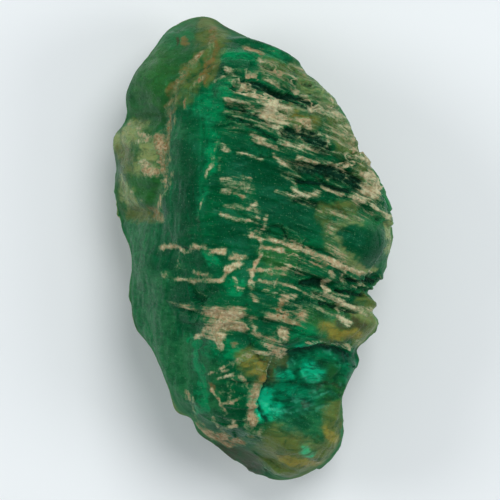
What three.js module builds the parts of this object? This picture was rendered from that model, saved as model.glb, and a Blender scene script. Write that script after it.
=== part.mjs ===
// A raw emerald crystal: a short, broken six-sided beryl prism, lying on one of its prism faces.
// The crystal's own axis runs nearly along +Y. Two prism faces meet in the ridge along its top,
// stepped parting faces break away on the right, a chip opens the lower right down to clear
// emerald, and paler lobes have grown onto the left side. It grew as one piece, so it is one mesh.
//
// Units are millimetres, +Z up. The origin is under the middle of the crystal, on the surface
// that it lies on. The broad, best side faces +Z and the crystal's pointed foot faces -Y.

import * as THREE from "three";
import { mergeVertices } from "three/addons/utils/BufferGeometryUtils.js";

// ---- driving dimensions -------------------------------------------------------------------

const LENGTH = 9.3; // along Y, tip to foot
const WIDTH = 5.7; // along X
const THICKNESS = 4.0; // along Z, resting face to ridge
const SPHERE_DETAIL = 20; // 20 * (SPHERE_DETAIL + 1)^2 triangles
const BOXINESS = 2.8; // 2 makes an ellipsoid; more squares the section off
const TOP_APEX = 1.12 * THICKNESS; // of the rounded form, before the facets cut it
const BACK_APEX = -0.18 * THICKNESS; // below the surface, so that the resting face cuts it flat

// The crystal's outline seen from above, clockwise from the tip, as X and Y.
const OUTLINE = [
  [-0.95, 4.65], [-0.7, 4.55], [-0.55, 4.45], [0, 4.2], [0.5, 4], [0.95, 3.75], [1.05, 3.5],
  [1.3, 3.35], [1.35, 3.2], [1.65, 3], [1.95, 2.45], [2.1, 2.1], [2.4, 1.65], [2.8, 0.7],
  [2.8, 0.45], [2.85, 0.15], [2.7, -0.2], [2.65, -0.55], [2.35, -0.8], [2.4, -1.05],
  [2.3, -1.25], [2.5, -1.4], [2.3, -1.85], [2.1, -2], [2.15, -2.25], [1.8, -2.75], [1.8, -3.4],
  [1.85, -3.75], [1.55, -4.25], [0.75, -4.65], [0, -4.55], [-0.2, -4.35], [-0.45, -4.2],
  [-0.75, -3.95], [-1.1, -3.7], [-1.2, -3.4], [-1.5, -3.3], [-1.65, -2.8], [-2, -2],
  [-2.3, -1.65], [-2.45, -0.8], [-2.4, -0.2], [-2.75, 0.75], [-2.8, 1.4], [-2.75, 1.7],
  [-2.85, 2], [-2.75, 2.3], [-2.5, 2.55], [-2.55, 3], [-2.35, 3.5], [-1.95, 4.05], [-1.7, 4.4],
  [-1.3, 4.6],
];

// Flat faces of the upper side. Each holds the point `at` and climbs by `climb` mm of Z for each
// mm along X and Y. `round` is the width over which it blends into its neighbours.
const UPPER_FACES = [
  { name: "front prism face", at: [-0.9, 1.6, 4.08], climb: [-0.12, 0.02], round: 0.2 },
  { name: "left prism face", at: [-1.02, 1.4, 4.08], climb: [1.2, 0.16], round: 0.3 },
  { name: "lower left prism face", at: [-1.3, -2.1, 3.78], climb: [1.65, 0.1], round: 0.4 },
  { name: "left tip face", at: [-0.78, 3.4, 3.62], climb: [0.72, -0.42], round: 0.35 },
  { name: "right parting slope", at: [0.06, 3.32, 3.72], climb: [-0.62, -0.86], round: 0.4 },
  { name: "right side", at: [1.95, 0.6, 3.5], climb: [-1.05, 0.12], round: 0.6 },
  { name: "foot", at: [0.8, -3.55, 3.35], climb: [0.05, 0.62], round: 0.5 },
];

// Flat faces of the underside, which rests on the plane Z = 0.
const UNDER_FACES = [
  { name: "right under face", at: [1.55, 0.6, 0.05], climb: [1.35, -0.12], round: 0.15 },
  { name: "left under face", at: [-1.6, 0.8, 0.1], climb: [-1.2, -0.1], round: 0.2 },
  { name: "foot break", at: [0.5, -3.1, 0.1], climb: [0.15, -0.95], round: 0.25 },
  { name: "tip break", at: [-0.5, 3.1, 0.1], climb: [0.2, 0.8], round: 0.2 },
];

// Rounded growths and hollows of the upper side: centre, reach along X and Y, and height.
const SWELLINGS = [
  { name: "upper left lobe", at: [-1.85, 3.2], reach: [0.75, 0.8], height: 0.22 },
  { name: "pale lobe", at: [-2.2, 1.55], reach: [0.5, 0.85], height: 0.28 },
  { name: "lower left swelling", at: [-1.95, -1.1], reach: [0.6, 0.9], height: 0.12 },
  { name: "right nodule", at: [2.2, 0.15], reach: [0.6, 0.5], height: 0.34 },
  { name: "olive wedge", at: [2.0, -1.55], reach: [0.5, 0.26], height: 0.2 },
  { name: "foot knob", at: [0.8, -4.0], reach: [0.7, 0.5], height: 0.2 },
  { name: "parting hollow", at: [1.0, 2.75], reach: [0.8, 0.3], height: -0.2 },
  { name: "nodule cleft", at: [2.1, -0.72], reach: [0.7, 0.25], height: -0.2 },
  { name: "wedge cleft", at: [2.0, -1.95], reach: [0.6, 0.25], height: -0.2 },
];

// Places where a piece has broken off and left a lower floor. Past the line through `edge`, with
// `out` pointing to the lost piece, the surface drops by `drop` over `run`. The line ends `half`
// mm each way from `edge`.
const STEPS = [
  { name: "lobe boundary", edge: [-1.7, 1.5], out: [-1, 0.12], half: 1.5, drop: 0.3, run: 0.5 },
  { name: "foot shelf", edge: [-0.7, -3.62], out: [-0.42, -0.9], half: 1.5, drop: 1.0, run: 0.7 },
];

// The chip that lays the clear emerald bare: an oval hollow with a steep rim.
const CHIP = { at: [1.05, -2.75], reach: [1.1, 0.9], depth: 0.42, rim: 0.5 };

// Height of the crystal's widest part, as shares of its thickness: its mean, and the waves round
// the crystal that raise and lower it. Each is `highest` at that angle, in radians from +X.
const GIRDLE_MEAN = 0.47;
const GIRDLE_WAVES = [
  { turns: 1, share: 0.07, highest: 0.5 },
  { turns: 2, share: 0.05, highest: 0.49 },
];

const STEP_END_FADE = [0.75, 1.05]; // shares of a step's `half` between which its ends ease out
const ROUGH_SIZES = [1.3, 0.6, 0.32]; // mm across the bumps of each layer of roughness
const ROUGH_HEIGHTS = [0.1, 0.05, 0.025]; // mm, one for each size
const ROUGH_FADE = 0.35; // height on the unit sphere above which the roughness is in full
const EVENING_PASSES = 4; // rounds of evening out the heights between neighbours
const WELD_DISTANCE = 1e-5; // on the unit sphere, below which two corners are one

// ---- helpers ------------------------------------------------------------------------------

const clamp01 = (t) => Math.min(1, Math.max(0, t));
const smoothstep = (low, high, x) => {
  const t = clamp01((x - low) / (high - low));
  return t * t * (3 - 2 * t);
};

// The lower of a and b, with the corner between them rounded over `width`.
function roundedMin(a, b, width) {
  const near = Math.max(width - Math.abs(a - b), 0) / width;
  return Math.min(a, b) - (near * near * width) / 4;
}
const roundedMax = (a, b, width) => -roundedMin(-a, -b, width);

// A repeatable number from -1 to 1 for each point of a whole-number grid.
function gridValue(i, j, k) {
  const wave = Math.sin(i * 127.1 + j * 311.7 + k * 74.7) * 43758.5453;
  return 2 * (wave - Math.floor(wave)) - 1;
}

// Smooth noise from -1 to 1, from grid values eased between the eight nearest points.
function noise(x, y, z) {
  const cell = [x, y, z].map(Math.floor);
  const ease = [x, y, z].map((v, n) => smoothstep(0, 1, v - cell[n]));
  let sum = 0;
  for (let corner = 0; corner < 8; corner++) {
    const step = [corner & 1, (corner >> 1) & 1, corner >> 2];
    const weight = step.reduce((w, s, n) => w * (s ? ease[n] : 1 - ease[n]), 1);
    sum += weight * gridValue(...step.map((s, n) => cell[n] + s));
  }
  return sum;
}

function roughness(x, y, z) {
  return ROUGH_SIZES.reduce(
    (sum, size, n) => sum + ROUGH_HEIGHTS[n] * noise(x / size, y / size + 7 * n, z / size),
    0,
  );
}

// ---- the outline as a radius for each direction -------------------------------------------

const outlineCurve = new THREE.CatmullRomCurve3(
  OUTLINE.map(([x, y]) => new THREE.Vector3(x, y, 0)),
  true,
  "centripetal",
);
const OUTLINE_SAMPLES = 1440;
const wrapTurn = (angle) => THREE.MathUtils.euclideanModulo(angle, 2 * Math.PI);
const outlineByAngle = outlineCurve
  .getPoints(OUTLINE_SAMPLES)
  .slice(0, OUTLINE_SAMPLES)
  .map((p) => ({ angle: wrapTurn(Math.atan2(p.y, p.x)), radius: Math.hypot(p.x, p.y) }))
  .sort((a, b) => a.angle - b.angle);

const BROAD_SPREAD = 0.9; // radians of outline that one point of the broad form averages
const BROAD_TAPS = 15;
const NOTCH_FADE = 16; // how fast the outline's small notches fade away from the widest part

function outlineRadius(anyAngle) {
  const angle = wrapTurn(anyAngle);
  const count = outlineByAngle.length;
  let low = 0;
  let high = count;
  while (low < high) {
    const middle = (low + high) >> 1;
    if (outlineByAngle[middle].angle < angle) low = middle + 1;
    else high = middle;
  }
  const after = outlineByAngle[low % count];
  const before = outlineByAngle[(low + count - 1) % count];
  const span = wrapTurn(after.angle - before.angle);
  const share = span > 0 ? wrapTurn(angle - before.angle) / span : 0;
  return before.radius + share * (after.radius - before.radius);
}

// The outline with its small notches averaged away.
function broadRadius(angle) {
  let sum = 0;
  for (let tap = 0; tap < BROAD_TAPS; tap++)
    sum += outlineRadius(angle + BROAD_SPREAD * ((tap + 0.5) / BROAD_TAPS - 0.5));
  return sum / BROAD_TAPS;
}

// Height of the widest part of the crystal in each direction.
function girdleHeight(angle) {
  const wave = ({ turns, share, highest }) => share * Math.cos(turns * (angle - highest));
  return THICKNESS * GIRDLE_WAVES.reduce((sum, one) => sum + wave(one), GIRDLE_MEAN);
}

// ---- upper and under surfaces -------------------------------------------------------------

const faceHeight = ({ at, climb }, x, y) =>
  at[2] + climb[0] * (x - at[0]) + climb[1] * (y - at[1]);

// 0 outside an oval and 1 at its centre, easing out over the outer `rim` share of its reach.
function insideOval({ at, reach }, rim, x, y) {
  const share = Math.hypot((x - at[0]) / reach[0], (y - at[1]) / reach[1]);
  return 1 - smoothstep(1 - rim, 1, share);
}

function stepDrop({ edge, out, half, drop, run }, x, y) {
  const length = Math.hypot(...out);
  const past = ((x - edge[0]) * out[0] + (y - edge[1]) * out[1]) / length;
  const along = ((x - edge[0]) * -out[1] + (y - edge[1]) * out[0]) / length;
  const ends = 1 - smoothstep(...STEP_END_FADE, Math.abs(along) / half);
  return drop * ends * smoothstep(-run / 2, run / 2, past);
}

function upperHeight(x, y, roundedForm) {
  let z = roundedForm;
  for (const face of UPPER_FACES) z = roundedMin(z, faceHeight(face, x, y), face.round);
  for (const { at, reach, height } of SWELLINGS) {
    const share = Math.hypot((x - at[0]) / reach[0], (y - at[1]) / reach[1]);
    z += height * Math.exp(-share * share);
  }
  for (const step of STEPS) z -= stepDrop(step, x, y);
  return z - CHIP.depth * insideOval(CHIP, CHIP.rim, x, y);
}

function underHeight(x, y, roundedForm) {
  let z = roundedForm;
  for (const face of UNDER_FACES) z = roundedMax(z, faceHeight(face, x, y), face.round);
  return z;
}

// ---- the crystal --------------------------------------------------------------------------

// Where the point of the unit sphere in direction `unit` goes on the crystal.
function onCrystal(unit) {
  const angle = Math.atan2(unit.y * LENGTH, unit.x * WIDTH);
  const out = Math.hypot(unit.x, unit.y);
  const squared = 2 / BOXINESS;
  const broad = broadRadius(angle);
  const notch = outlineRadius(angle) - broad;
  const radius = broad * out ** squared + notch * out ** NOTCH_FADE;
  const x = radius * Math.cos(angle);
  const y = radius * Math.sin(angle);

  const girdle = girdleHeight(angle);
  const apex = unit.z > 0 ? TOP_APEX : BACK_APEX;
  const rise = Math.abs(unit.z) ** squared;
  const rounded = girdle + (apex - girdle) * rise;
  const surface = unit.z > 0 ? upperHeight(x, y, rounded) : underHeight(x, y, rounded);

  // Roughness fades at the girdle, to leave the outline as drawn. Nothing goes below the surface
  // that the crystal lies on, so that face stays flat.
  const rough = roughness(x, y, surface) * smoothstep(0, ROUGH_FADE, Math.abs(unit.z));
  return new THREE.Vector3(x, y, Math.max(0, surface + rough));
}

// Evens out the heights where the facets' edges cross the mesh at a slant. The outline and the
// resting face stay as they are.
function evenHeights(geometry, passes) {
  const place = geometry.getAttribute("position");
  const corners = geometry.index.array;
  for (let pass = 0; pass < passes; pass++) {
    const sum = new Float64Array(place.count);
    const neighbours = new Float64Array(place.count);
    for (let i = 0; i < corners.length; i++) {
      const next = corners[i - (i % 3) + ((i + 1) % 3)];
      sum[corners[i]] += place.getZ(next);
      neighbours[corners[i]] += 1;
    }
    for (let i = 0; i < place.count; i++)
      if (place.getZ(i) > 0) place.setZ(i, (place.getZ(i) + sum[i] / neighbours[i]) / 2);
  }
}

function crystalGeometry() {
  const sphere = new THREE.IcosahedronGeometry(1, SPHERE_DETAIL);
  sphere.deleteAttribute("normal");
  sphere.deleteAttribute("uv");
  const geometry = mergeVertices(sphere, WELD_DISTANCE);
  const place = geometry.getAttribute("position");
  const unit = new THREE.Vector3();
  for (let i = 0; i < place.count; i++) {
    const at = onCrystal(unit.fromBufferAttribute(place, i).normalize());
    place.setXYZ(i, at.x, at.y, at.z);
  }
  evenHeights(geometry, EVENING_PASSES);
  geometry.computeBoundingBox();
  const middle = geometry.boundingBox.getCenter(new THREE.Vector3());
  geometry.translate(-middle.x, -middle.y, 0);
  geometry.computeVertexNormals();
  return geometry;
}

const emerald = new THREE.Mesh(
  crystalGeometry(),
  new THREE.MeshStandardMaterial({ color: 0x0b6242, roughness: 0.4, metalness: 0 }),
);
emerald.name = "emerald_crystal";

const crystal = new THREE.Group();
crystal.add(emerald);

export default crystal;
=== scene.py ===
"""A raw emerald crystal lying on its flat prism face, seen from straight above.

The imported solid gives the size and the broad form. This script remeshes it finely, breaks its
surface into parting ledges, chips, striations and hollows, and stores where the mineral films,
stains and clear patches lie as point attributes, which the material turns into colour and gloss.
"""

import itertools
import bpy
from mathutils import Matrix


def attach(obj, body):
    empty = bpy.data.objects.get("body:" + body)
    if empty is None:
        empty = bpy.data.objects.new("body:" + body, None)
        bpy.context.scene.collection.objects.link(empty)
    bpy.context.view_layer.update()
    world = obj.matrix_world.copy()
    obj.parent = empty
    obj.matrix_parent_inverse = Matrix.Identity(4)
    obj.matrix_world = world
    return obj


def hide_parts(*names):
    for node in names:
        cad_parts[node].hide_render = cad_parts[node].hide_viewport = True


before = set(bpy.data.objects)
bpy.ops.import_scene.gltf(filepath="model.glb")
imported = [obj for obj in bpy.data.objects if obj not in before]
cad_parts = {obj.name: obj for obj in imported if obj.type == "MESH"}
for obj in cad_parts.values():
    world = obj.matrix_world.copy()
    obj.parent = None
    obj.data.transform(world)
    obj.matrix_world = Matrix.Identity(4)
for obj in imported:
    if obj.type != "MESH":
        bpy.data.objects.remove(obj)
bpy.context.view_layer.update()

from types import SimpleNamespace

import bmesh
import bpy
import numpy as np
from mathutils import Matrix, Vector

# ---- driving dimensions ----

NODE = "emerald_crystal"
MM = 0.001  # the shaping below works in millimetres, the scene in metres

VOXEL = 0.066  # mm between the points of the first mesh
UPPER_SIDE = 0.12  # upward part of a face's normal above which the mesh is made finer
BASE_SKIN = 0.04  # mm, points this near the resting face stay on it
MOST_RELIEF = 0.2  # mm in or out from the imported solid
EDGE_HEIGHT = 0.03  # mm that a point stands above its surroundings to count as an edge
BIG_CHIP = 0.62  # mm across
SMALL_CHIP = 0.25  # mm across
LARGE_LEDGES = 0.62  # mm from one ledge to the next
SMALL_LEDGES = 0.3
FINE_LEDGES = 0.14
PARTING_FALL = 0.1  # mm that the partings fall per mm to the right
PARTING_BEND = 0.067  # mm per square mm that they fall more, right of where they bend
PARTING_BEND_X = -1.05  # mm
FILM_RAGGEDNESS = 1.0  # how far the edges of the films wander
PATCH_RAGGEDNESS = 2.2  # how far those of the soft patches do
FILM_SHOWS = 0.42  # a film's strength where it first shows
FILM_CLOSED = 1.25  # its strength where it has no more gaps

BERYL_IOR = 1.58
SEE_THROUGH = 0.35  # share of the light that passes into the chip's clear emerald
SUBSURFACE_REACH = 0.3  # mm that light goes into the cloudy stone
BUMP_HEIGHT = 0.02  # mm, of the grain that is too fine for the mesh

VIEW_WIDTH = 10.0  # mm across the picture
VIEW_CENTRE = (-0.04, -0.02)  # mm, what the middle of the picture shows
VIEW_HEIGHT = 2.5  # mm above the floor, where the picture is that wide
LENS = 500.0  # mm, long enough for a flat view
SENSOR = 36.0  # mm across the camera's sensor
FLOOR_WIDTH = 800.0  # mm

# ---- where things are on the upper face, in mm, X to the right and Y towards the tip ----

# The ridge between the front face and the left flank, and the seam between the flank and the
# paler lobes, each from the tip down.
RIDGE = [
    (-0.6, 4.6), (-0.7, 3.4), (-0.65, 2.2), (-0.85, 1.2), (-1.05, 0.6), (-1.75, 0.0),
    (-1.75, -1.0), (-1.2, -1.7), (-1.1, -3.3), (-1.0, -4.6),
]
SEAM = [
    (-0.6, 4.6), (-0.95, 3.7), (-1.5, 3.25), (-1.7, 2.75), (-1.75, 2.2), (-1.8, 1.3),
    (-2.05, 0.75), (-3.4, 0.2),
]

# Mineral films, as (reach, share, warmth, path). A film covers `share` of the surface along its
# path and nothing beyond its reach; noise breaks it into crumbs in between. Warmth runs from 0,
# white cream, through 0.5, pinkish tan, to 1, rust.
FILMS = [
    # the upper right ledges
    (0.33, 1.4, 0.2, [(0.35, 2.75), (0.55, 2.6)]),
    (0.1, 0.95, 0.25, [(-0.5, 2.9), (-0.25, 2.8), (0.2, 2.7)]),
    (0.12, 0.95, 0.3, [(-0.1, 3.35), (-0.15, 3.15), (-0.3, 3.1), (0.0, 3.0), (0.3, 2.85)]),
    (0.18, 0.9, 0.45, [(0.7, 2.55), (1.15, 2.4)]),
    (0.11, 0.9, 0.1, [(0.45, 2.5), (0.6, 2.15), (0.8, 2.05), (1.15, 1.95)]),
    (0.1, 0.9, 0.2, [(0.0, 2.25), (0.5, 2.0), (0.5, 1.85), (0.65, 1.65)]),
    (0.07, 0.8, 0.2, [(-0.55, 2.7), (-0.3, 2.6), (0.4, 2.35)]),
    (0.07, 0.9, 0.3, [(-0.75, 3.3), (-0.55, 3.35)]),
    (0.07, 0.9, 0.2, [(-0.55, 3.5), (-0.25, 3.3)]),
    (0.4, 0.36, 0.2, [(-0.35, 3.2), (-0.25, 2.4)]),
    (0.14, 0.9, 0.75, [(-0.15, 3.95), (0.15, 3.8)]),
    (0.12, 0.8, 0.25, [(0.1, 3.65), (0.2, 3.6)]),
    (0.32, 0.6, 0.45, [(0.35, 3.5), (0.95, 3.45)]),
    (0.1, 0.9, 0.2, [(0.3, 3.35), (0.55, 3.15)]),
    (0.1, 0.9, 0.2, [(0.75, 3.3), (0.9, 3.15)]),
    (0.3, 0.55, 0.2, [(1.1, 3.1), (1.6, 2.8), (1.8, 2.4)]),
    (0.15, 1.0, 0.15, [(1.15, 2.75), (1.7, 2.6)]),
    (0.25, 0.75, 0.4, [(1.3, 2.35), (1.7, 2.25), (2.05, 2.0)]),
    (0.08, 0.85, 0.1, [(1.45, 2.2), (1.5, 2.0), (1.35, 2.0)]),
    (0.08, 0.85, 0.15, [(1.1, 2.0), (1.7, 1.9), (2.35, 1.65)]),
    (0.09, 0.85, 0.3, [(0.95, 1.85), (1.45, 1.7), (2.1, 1.5), (2.35, 1.45)]),
    (0.28, 1.4, 0.2, [(2.35, 1.4), (2.35, 1.1), (2.1, 1.0)]),
    (0.13, 1.0, 0.15, [(2.3, 0.85), (2.65, 0.65)]),
    (0.11, 1.0, 0.05, [(0.8, 1.25), (0.9, 1.1), (1.05, 1.1)]),
    (0.1, 1.0, 0.15, [(1.1, 1.05), (1.3, 1.1)]),
    (0.08, 0.9, 0.25, [(1.4, 1.2), (1.8, 1.1)]),
    (0.25, 0.45, 0.4, [(0.6, 1.9), (0.75, 1.5), (1.1, 1.7)]),
    (0.07, 0.85, 0.2, [(0.5, 1.15), (1.1, 0.9), (1.4, 0.75)]),
    (0.06, 0.85, 0.15, [(-0.25, 1.9), (0.25, 1.75)]),
    (0.11, 1.0, 0.0, [(-0.6, 2.05), (-0.5, 1.95)]),
    # on and beside the ridge
    (0.05, 0.65, 0.0, [(-0.7, 2.1), (-0.8, 1.7), (-0.9, 1.4)]),
    (0.04, 0.6, 0.0, [(-1.0, 1.0), (-1.1, 0.6)]),
    (0.25, 0.34, 0.2, [(-0.5, 1.35), (0.0, 1.15)]),
    (0.07, 0.85, 0.2, [(-0.6, 1.4), (-0.35, 1.4), (0.0, 1.35)]),
    (0.08, 0.9, 0.25, [(-0.6, 1.15), (-0.45, 1.15)]),
    (0.08, 0.7, 0.6, [(-0.35, 1.15), (-0.15, 1.05)]),
    (0.08, 1.0, 0.2, [(-0.05, 0.8), (0.1, 0.85)]),
    (0.07, 0.9, 0.2, [(-0.6, 0.7), (-0.3, 0.6), (0.05, 0.6)]),
    (0.22, 0.34, 0.2, [(-0.5, 0.75), (0.1, 0.75)]),
    (0.07, 0.7, 0.3, [(0.1, 0.9), (0.1, 0.6)]),
    (0.06, 0.55, 0.6, [(-0.65, 1.8), (-0.65, 1.5)]),
    # the middle, left of the upright vein
    (0.11, 0.95, 0.45, [(-1.8, 0.05), (-1.5, 0.05)]),
    (0.08, 1.1, 0.3, [(-1.5, 0.05), (-1.3, -0.1), (-1.15, 0.05)]),
    (0.11, 1.3, 0.4, [(-1.1, 0.05), (-0.95, 0.05), (-0.8, -0.05), (-0.55, -0.05)]),
    (0.13, 1.2, 0.35, [(-0.4, -0.15), (-0.2, -0.15)]),
    (0.08, 1.1, 0.4, [(-1.75, -0.5), (-1.6, -0.6), (-1.2, -0.65)]),
    (0.08, 1.1, 0.5, [(-1.2, -0.65), (-0.6, -0.6), (-0.45, -0.45)]),
    (0.09, 0.95, 0.6, [(-1.15, -0.45), (-0.85, -0.55)]),
    (0.14, 1.3, 0.25, [(-0.45, -0.4), (-0.25, -0.3)]),
    (0.1, 0.6, 0.6, [(-0.15, -0.4), (0.0, -0.45)]),
    (0.1, 1.3, 0.2, [(-0.05, -0.5), (-0.05, -0.7)]),
    (0.1, 1.1, 0.5, [(0.0, -0.7), (0.05, -1.05)]),
    (0.08, 1.0, 0.3, [(0.3, 0.65), (0.2, 0.3), (0.15, -0.15)]),
    (0.06, 1.0, 0.5, [(0.15, -0.15), (-0.05, -0.45)]),
    (0.06, 1.0, 0.5, [(0.0, -0.45), (0.35, -0.4), (0.8, -0.3)]),
    (0.06, 0.8, 0.2, [(-1.15, -0.85), (-0.95, -0.95)]),
    (0.1, 0.75, 0.5, [(-1.55, -1.05), (-1.1, -1.2)]),
    (0.05, 0.9, 0.0, [(-0.4, -0.6), (-0.25, -0.8), (-0.15, -0.8)]),
    # the middle, right of it
    (0.08, 1.1, 0.35, [(0.0, 0.3), (0.35, 0.2), (1.1, -0.05)]),
    (0.1, 1.05, 0.4, [(1.1, -0.05), (1.5, -0.2), (1.75, -0.35), (2.35, -0.5)]),
    (0.07, 1.0, 0.4, [(0.2, 0.05), (0.65, -0.1), (1.2, -0.25)]),
    (0.11, 1.0, 0.75, [(1.25, -0.25), (1.45, -0.3)]),
    (0.1, 0.8, 0.35, [(0.3, -0.45), (0.55, -0.5), (0.75, -0.3)]),
    (0.3, 0.3, 0.2, [(0.4, -0.3), (0.9, -0.4)]),
    (0.2, 0.55, 0.4, [(1.65, 0.6), (1.5, 0.35), (1.55, 0.0), (1.75, -0.2)]),
    (0.2, 0.6, 0.35, [(1.5, 0.7), (2.3, 0.7)]),
    (0.09, 1.15, 0.25, [(1.55, -0.45), (1.45, -0.85)]),
    (0.08, 0.7, 0.2, [(1.8, -0.5), (1.85, -0.75)]),
    (0.06, 0.95, 0.1, [(1.95, -0.75), (2.15, -0.7)]),
    (0.06, 0.9, 0.25, [(1.55, -0.9), (1.85, -0.95)]),
    (0.12, 1.0, 0.2, [(1.2, -0.9), (1.4, -1.0), (2.2, -1.25)]),
    (0.06, 1.05, 0.3, [(0.15, -0.65), (0.8, -0.75), (1.45, -1.05)]),
    (0.09, 0.8, 0.3, [(0.55, -1.0), (0.85, -0.95)]),
    (0.15, 0.95, 0.85, [(0.55, -1.1), (0.5, -1.3)]),
    (0.15, 0.9, 0.5, [(0.3, -1.35), (0.55, -1.35)]),
    (0.2, 1.05, 0.65, [(0.7, -1.4), (1.0, -1.4)]),
    (0.14, 1.0, 0.1, [(1.7, -1.25), (1.85, -1.45)]),
    (0.35, 0.32, 0.3, [(0.3, -1.1), (1.4, -1.25)]),
    (0.22, 1.4, 0.6, [(0.35, -1.75), (0.5, -2.0)]),
    (0.19, 1.4, 0.35, [(0.6, -1.65), (0.6, -2.1)]),
    (0.11, 0.95, 0.3, [(0.0, -1.4), (0.1, -1.7), (0.3, -1.85)]),
    (0.07, 0.85, 0.15, [(1.05, -1.85), (1.4, -1.8), (2.0, -2.0)]),
    (0.13, 0.8, 0.35, [(1.85, -1.95), (2.2, -1.85)]),
    # the lower left
    (0.24, 1.5, 0.5, [(-0.85, -1.3), (-0.25, -1.3)]),
    (0.22, 1.4, 0.45, [(-0.8, -1.5), (-0.2, -1.5)]),
    (0.17, 1.2, 0.35, [(-0.95, -1.65), (-0.65, -1.75)]),
    (0.09, 0.9, 0.2, [(-1.15, -1.75), (-0.95, -1.7)]),
    (0.11, 0.85, 0.2, [(-0.65, -1.8), (-0.6, -1.95)]),
    (0.09, 0.85, 0.75, [(-0.35, -1.9), (-0.3, -1.9)]),
    (0.09, 0.85, 0.6, [(-0.4, -2.25), (-0.25, -2.2)]),
    (0.08, 0.85, 0.35, [(-0.5, -2.4), (-0.65, -2.45)]),
    (0.05, 0.75, 0.1, [(-0.35, -2.45), (-0.65, -2.6)]),
    (0.06, 1.1, 0.6, [(-0.8, -2.75), (-0.65, -2.95), (-0.5, -3.2), (-0.35, -3.35)]),
    (0.09, 1.0, 0.2, [(-0.5, -3.3), (-0.35, -3.4)]),
    (0.05, 0.95, 0.5, [(-0.6, -3.1), (-0.35, -2.95), (0.0, -2.85)]),
    (0.05, 0.9, 0.5, [(-0.85, -2.5), (-0.6, -2.35), (-0.2, -2.15)]),
    (0.05, 0.9, 0.4, [(-0.75, -3.35), (-0.6, -3.55), (-0.3, -3.5)]),
    (0.25, 0.4, 0.3, [(0.0, -3.3), (0.05, -3.75)]),
    (0.3, 0.3, 0.5, [(-0.1, -2.15), (0.1, -2.6)]),
    (0.11, 0.75, 0.25, [(-0.2, -2.2), (0.1, -2.0), (0.6, -2.1)]),
    (0.15, 1.4, 0.6, [(0.05, -2.7), (0.0, -3.1), (0.05, -3.4)]),
    (0.06, 0.9, 0.6, [(-0.2, -2.2), (-0.2, -2.5), (-0.05, -2.8)]),
    (0.06, 0.85, 0.25, [(0.35, -2.15), (0.25, -2.45)]),
    (0.1, 0.75, 0.4, [(0.2, -3.5), (0.1, -3.85)]),
    (0.2, 1.6, 0.75, [(-1.05, -3.55), (-0.8, -3.7), (-0.6, -3.75)]),
    (0.15, 1.1, 0.8, [(-0.5, -3.9), (-0.2, -3.85), (-0.05, -3.75)]),
    (0.09, 0.75, 0.55, [(-1.4, -2.85), (-1.3, -3.0)]),
    (0.08, 0.55, 0.2, [(-1.2, -3.0), (-1.1, -3.35)]),
    # the seam of the left lobes
    (0.07, 0.8, 0.85, [(-1.0, 3.9), (-1.55, 3.25), (-1.65, 2.65)]),
    (0.12, 0.5, 0.75, [(-1.45, 3.35), (-1.65, 2.75)]),
    (0.2, 0.9, 0.8, [(-1.65, 2.6), (-1.75, 2.25)]),
    (0.22, 0.85, 0.7, [(-1.85, 2.2), (-1.75, 1.8)]),
    (0.1, 0.8, 0.85, [(-1.7, 2.1), (-1.7, 1.4)]),
    (0.17, 1.0, 0.6, [(-2.0, 1.55), (-1.7, 1.5)]),
    (0.14, 0.95, 0.5, [(-1.75, 1.35), (-1.8, 1.1), (-1.9, 0.9)]),
    (0.13, 0.75, 0.8, [(-1.95, 0.75), (-1.85, 0.6)]),
    (0.06, 0.75, 0.85, [(-0.95, 3.4), (-1.2, 3.25), (-1.35, 2.9), (-1.25, 2.75)]),
    (0.08, 0.6, 0.6, [(-0.8, 4.25), (-0.85, 3.95), (-0.85, 3.6)]),
    (0.13, 0.75, 0.4, [(-2.4, 2.5), (-2.25, 2.35), (-2.0, 2.25)]),
    (0.08, 0.6, 0.3, [(-2.35, 2.15), (-1.95, 2.15)]),
    (0.07, 0.6, 0.1, [(-2.55, 1.5), (-2.4, 1.2), (-2.15, 0.95)]),
    (0.06, 0.55, 0.1, [(-2.6, 1.2), (-2.45, 0.95), (-2.2, 0.8)]),
    (0.1, 0.7, 0.2, [(-2.1, 1.75), (-2.0, 1.7)]),
]

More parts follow.
